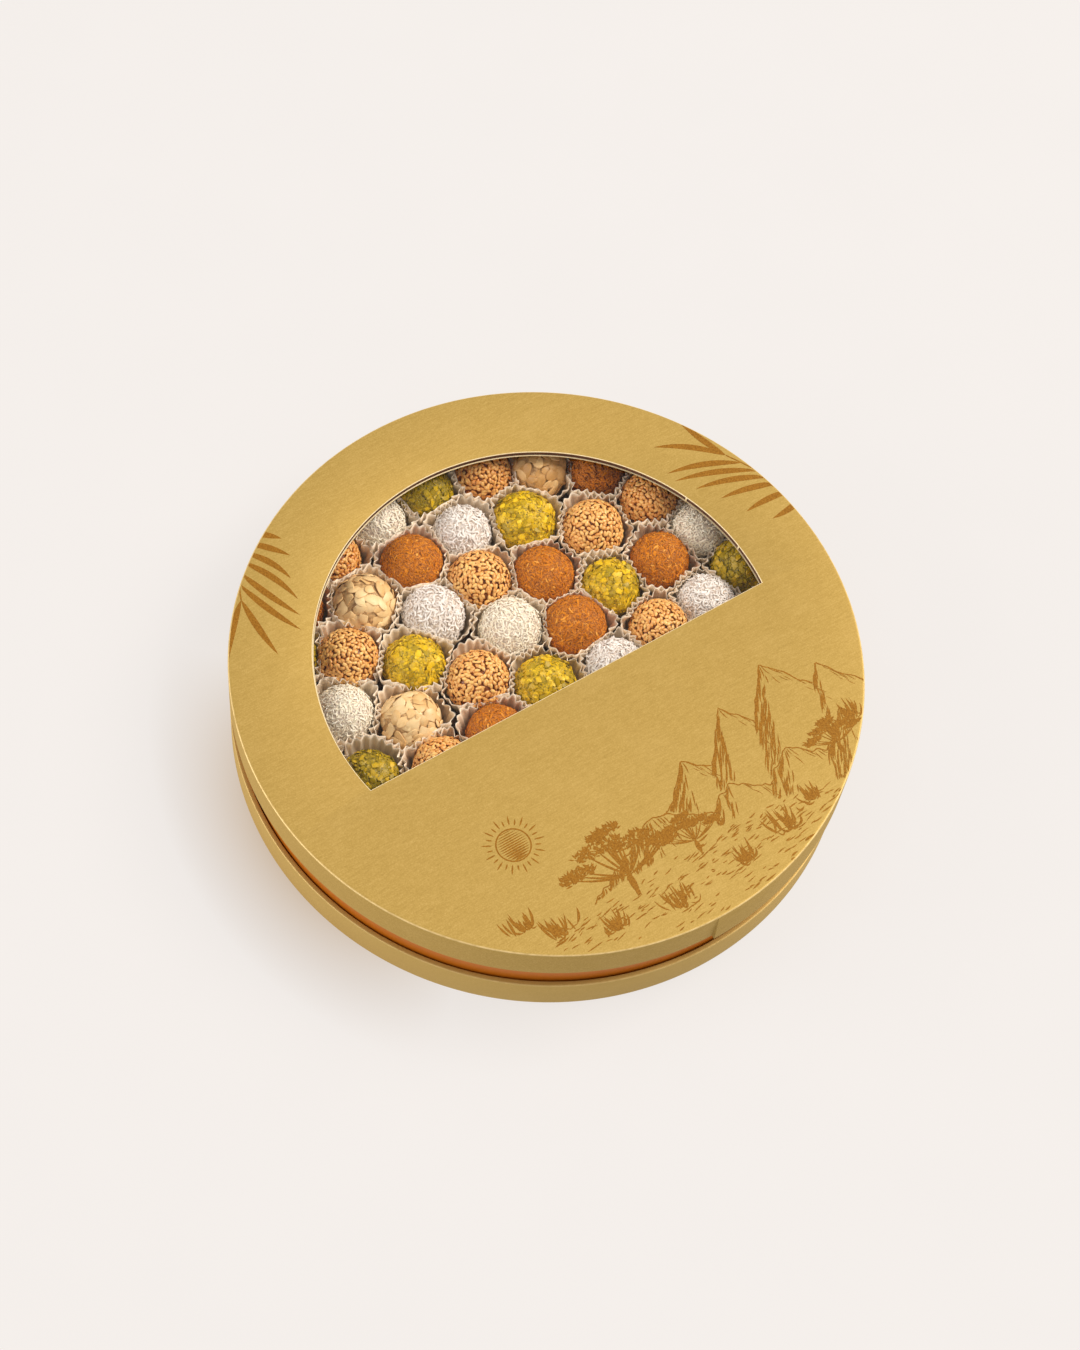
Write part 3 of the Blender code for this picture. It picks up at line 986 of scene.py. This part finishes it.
for number, peaks in enumerate(RANGES):
    begin = min(middle - spread for middle, _, spread in peaks)
    line = [(x, crest(number, x)) for x in np.arange(begin, 126.0, 0.8)]
    line = [spot for spot in line if not hidden(number, *spot)]
    ribbon(line, [0.55 + 0.5 * abs(noise.noise(Vector((x * 0.2, number, 4.0)))) for x, _ in line])
    for x in np.arange(begin, 126.0, 0.8):
        top = crest(number, x)
        if hidden(number, x, top):
            continue
        slope = crest(number, x + 2.0) - crest(number, x - 2.0)
        shade = 1.0 / (1.0 + math.exp(-1.2 * slope))
        drop = 0.0
        while drop < 34.0 and etching.random() < 0.35 + 0.6 * shade:
            length = etching.uniform(2.5, 6.0) + 4.0 * shade
            hatch(number, (x + 0.35 * drop * (1.0 - 2.0 * shade), top - 0.5 - drop),
                  -100.0 - 22.0 * shade + 40.0 * (1.0 - shade) + etching.uniform(-6.0, 6.0),
                  length, (0.35 + 0.5 * shade) * (1.0 - 0.015 * drop))
            drop += length * etching.uniform(0.7, 1.2)

# A low sun with a ring, lines across it and rays.
SUN = Vector((-66.0, -73.0))
SUN_RADIUS = 8.0
SUN_RAYS = 26
RAY_START = SUN_RADIUS + 1.8
around = np.linspace(0.0, math.tau, 49)
ribbon(np.stack((SUN.x + SUN_RADIUS * np.cos(around), SUN.y + SUN_RADIUS * np.sin(around)), 1),
       np.full(49, 0.7))
for height in np.arange(-SUN_RADIUS + 1.2, SUN_RADIUS - 1.0, 1.15):
    half = math.sqrt(SUN_RADIUS ** 2 - height ** 2) - 0.7
    leaf((SUN.x - half, SUN.y + height), 0.0, 2.0 * half, 0.35 + 0.05 * (SUN_RADIUS - height))
for number in range(SUN_RAYS):
    heading = 360.0 * number / SUN_RAYS
    leaf(SUN + Vector(towards(heading)) * RAY_START, heading, 5.0 if number % 2 else 3.0, 0.7)

# Umbrella trees: a trunk that forks into a flat crown of small leaves in a few pads.
TREES = ((-30.0, -121.0, 1.0), (6.0, -118.0, 0.55), (92.0, -110.0, 0.5))
PADS = ((-19.0, 20.0, 9.0, 2.8), (-5.0, 26.5, 12.0, 3.4), (11.0, 22.5, 11.0, 3.0),
        (24.0, 17.0, 7.5, 2.3), (2.0, 32.0, 8.0, 2.2))
for x, y, size in TREES:
    fork = np.array((x + 1.5 * size, y + 9.0 * size))
    for lean in (-0.8, 0.0, 0.9):
        leaf((x + lean * size, y - 2.0), 84.0 + 4.0 * lean, 14.0 * size, 2.4 * size, lean, 6)
    for across, up, wide, tall in PADS:
        pad = np.array((x + across * size, y + up * size))
        for share in (-0.45, 0.0, 0.45):
            way = pad + (share * wide * size, 0.0) - fork
            leaf(fork, math.degrees(math.atan2(way[1], way[0])), np.linalg.norm(way),
                 1.1 * size, -0.06 * way[0], 6)
        for _ in range(int(150 * size ** 0.6)):
            turned = etching.uniform(0.0, math.tau)
            reach = etching.random() ** 0.5
            spot = pad + (wide * size * reach * math.cos(turned),
                          tall * size * reach * math.sin(turned))
            leaf(spot, etching.uniform(0.0, 180.0), etching.uniform(1.6, 3.6) * size ** 0.5,
                 etching.uniform(0.6, 1.1), 0.0, 3)

# Tufts of grass, and short strokes on the ground round them, closer together to the right.
TUFTS = ((-84.0, -111.0, 10.0), (-70.0, -121.0, 13.0), (-47.0, -132.0, 12.0),
         (-16.0, -137.0, 13.0), (22.0, -134.0, 11.0), (48.0, -130.0, 14.0),
         (66.0, -124.0, 10.0), (106.0, -99.0, 11.0))
for x, y, size in TUFTS:
    for number in range(26):
        lean = max(-75.0, min(75.0, etching.gauss(0.0, 32.0)))
        leaf((x + etching.gauss(0.0, 0.22) * size, y + etching.uniform(-1.0, 1.5)), 90.0 - lean,
             size * etching.uniform(0.35, 1.0) * math.cos(math.radians(lean)) ** 0.5,
             etching.uniform(0.7, 1.4), -lean * 0.03, 6)
for _ in range(1500):
    x, y = etching.uniform(-104.0, 122.0), etching.uniform(-150.0, -98.0)
    dark = 0.35 + 0.65 * max(0.0, noise.noise(Vector((x * 0.035, y * 0.09, 2.0))) + 0.004 * x)
    if math.hypot(x, y) < PRINT_EDGE - 0.5 and y < ground(x) - 0.5 and etching.random() < dark:
        leaf((x, y), etching.gauss(8.0, 7.0), etching.uniform(2.0, 7.0),
             etching.uniform(0.3, 0.6) + 0.6 * dark * etching.random(),
             etching.uniform(-0.3, 0.3), 4)


def ink_finish():
    """Brown ink that lets the paper's grain break it up a little."""
    ink = Finish("brown_ink", metallic=0.15, specular_ior_level=0.1, roughness=0.5)
    grain = ink.noise(0.7, 4.0, 0.7)
    body = ink.mix(srgb(124, 80, 22), srgb(158, 110, 38), grain.fade(0.35, 0.62))
    return ink.surface(base_color=body, normal=ink.bump(grain, 0.06, 0.5))


# Strokes cross one another, so each lies at a height of its own within the ink's thickness.
ink_points, ink_faces, offset = [], [], 0
for number, sides in enumerate(inked):
    count = len(sides)
    height = LID_TOP + INK_LOWEST + INK_DEPTH * (number * GOLDEN_SHARE % 1.0)
    flat = sides.reshape(-1, 2)
    ink_points.append(np.column_stack((flat, np.full(len(flat), height))))
    ink_faces += [(offset + 2 * step, offset + 2 * step + 1, offset + 2 * step + 3,
                   offset + 2 * step + 2) for step in range(count - 1)]
    offset += 2 * count
ink_mesh = bpy.data.meshes.new("lid_print")
ink_mesh.from_pydata(np.concatenate(ink_points) * MM, [], ink_faces)
dressed("lid_print", ink_mesh, (ink_finish(),))


# Window lining. A strip of cream paper glued round the hole under the board; its edge shows as
# a thin line below the brown one, with two small joins.
lining = bmesh.new()
rims = window_edge(lining, -0.55, BOARD_BOTTOM - 0.25)
rims += window_edge(lining, 3.0, BOARD_BOTTOM - 0.25)
bmesh.ops.triangle_fill(lining, edges=rims, use_beauty=True)
pulled_up(lining, list(lining.faces), 0.2)
for angle in (20.0, 1.2):
    spot = on_arc(-0.25, math.radians(angle), 0.5 * (LID_TOP + BOARD_BOTTOM) - 0.1)
    bmesh.ops.create_cube(lining, size=MM, matrix=Matrix.Translation(spot)
                          @ Matrix.Rotation(math.radians(angle), 4, "Z")
                          @ Matrix.Diagonal((0.35, 0.8, 2.2, 1.0)))
finished("window_lining", lining, (cut_paper,))


# Film. Thin clear sheet, cut to the window's shape and glued under the lining. It is nearly
# invisible but for a faint sheen.
film_low, film_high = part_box("window_film")
FILM_LAP = 6.0
SHEEN_SHARE = 0.012
sheet = bmesh.new()
bmesh.ops.contextual_create(sheet, geom=window_edge(sheet, FILM_LAP, film_low.z / MM))
pulled_up(sheet, list(sheet.faces), (film_high.z - film_low.z) / MM)
film = Finish("clear_film")
clear = film.node("ShaderNodeBsdfTransparent", {}, {"Color": (0.99, 0.99, 0.99)})
sheen = film.node("ShaderNodeBsdfGlossy", {}, {"Color": (1.0, 1.0, 1.0), "Roughness": 0.12})
both = film.node("ShaderNodeMixShader", {}, {0: SHEEN_SHARE, 1: clear, 2: sheen})
film.fill(film.tree.nodes["Material Output"].inputs["Surface"], both)
finished("film_sheet", sheet, (film.material,), ("window_film",))


# Floor, light and camera. A pale sweep, one broad key light from the upper right of the view,
# a weaker one from the left and a bright surround. The camera stands at the photograph's angle
# and distance.
VIEW_AZIMUTH = -41.58
VIEW_ELEVATION = 62.10
VIEW_ROLL = 9.91
VIEW_DISTANCE = 1204.0
VIEW_CENTRE_HEIGHT = 24.0
AIM = Vector((3.36, 8.13, VIEW_CENTRE_HEIGHT))
FOCAL_PIXELS = 2498.0
IMAGE_HEIGHT = 1350.0
FILM_HEIGHT = 36.0


def from_view(azimuth, elevation):
    """The direction of a point of view: azimuth 0 looks along +Y."""
    turned, raised_by = math.radians(azimuth), math.radians(elevation)
    return Vector((math.sin(turned) * math.cos(raised_by),
                   -math.cos(turned) * math.cos(raised_by), math.sin(raised_by)))


camera_data = bpy.data.cameras.new("camera")
camera_data.sensor_fit = "VERTICAL"
camera_data.sensor_height = FILM_HEIGHT
camera_data.lens = FOCAL_PIXELS / IMAGE_HEIGHT * FILM_HEIGHT
camera = placed("camera", camera_data)
spot = (Vector((0.0, 0.0, VIEW_CENTRE_HEIGHT))
        + from_view(VIEW_AZIMUTH, VIEW_ELEVATION) * VIEW_DISTANCE) * MM
facing = (spot - AIM * MM).to_track_quat("Z", "Y").to_matrix().to_4x4()
camera.matrix_world = (Matrix.Translation(spot) @ facing
                       @ Matrix.Rotation(math.radians(VIEW_ROLL), 4, "Z"))
bpy.context.scene.camera = camera

# The floor's glow is painted darker next to the box, on the side away from the key light: a painted
# shadow.
FLOOR_HALF = 4.0
SHADE_REACH = 40.0
SHADE_SIDE = 0.74
SHADE_LEAST = 0.06
plane = bmesh.new()
bmesh.ops.create_grid(plane, x_segments=1, y_segments=1, size=FLOOR_HALF)
floor_mesh = mesh_of("floor", plane)
floor_finish = Finish("floor", roughness=0.9, specular_ior_level=0.0, emission_strength=0.815)
across, radius = floor_finish.axis("X"), floor_finish.radius()
near = 1.0 - radius.fade(BOX_RADIUS, BOX_RADIUS + SHADE_REACH)
leftward = across.math("DIVIDE", across * -1.0, radius).fade(SHADE_SIDE, 1.0)
shaded = leftward * (1.0 - SHADE_LEAST) + SHADE_LEAST
pale = floor_finish.mix(srgb(248, 243, 239), srgb(214, 195, 175),
                        near * (near * 0.3 + 0.7) * shaded)
floor_finish.surface(emission_color=pale, base_color=floor_finish.mix(
    srgb(88, 87, 88), srgb(92, 91, 92), floor_finish.noise(60.0)))
floor_mesh.materials.append(floor_finish.material)
placed("floor", floor_mesh)


def lamp(name, azimuth, elevation, distance, size, power, tint):
    """A square soft light that faces the box."""
    data = bpy.data.lights.new(name, "AREA")
    data.shape = "SQUARE"
    data.size = size
    data.energy = power
    data.color = tint
    outward = from_view(VIEW_AZIMUTH + azimuth, elevation)
    placed(name, data).matrix_world = (Matrix.Translation(outward * distance)
                                       @ outward.to_track_quat("Z", "Y").to_matrix().to_4x4())


lamp("key", 118.0, 50.0, 4.0, 2.1, 164.0, (1.0, 0.93, 0.83))
lamp("left_fill", -70.0, 18.0, 2.4, 1.6, 40.0, (1.0, 0.94, 0.86))
world = bpy.data.worlds.new("surround")
world.use_nodes = True
backdrop = world.node_tree.nodes["Background"]
backdrop.inputs["Color"].default_value = (1.0, 0.97, 0.93, 1.0)
backdrop.inputs["Strength"].default_value = 0.55
bpy.context.scene.world = world
bpy.context.scene.view_settings.view_transform = "Standard"
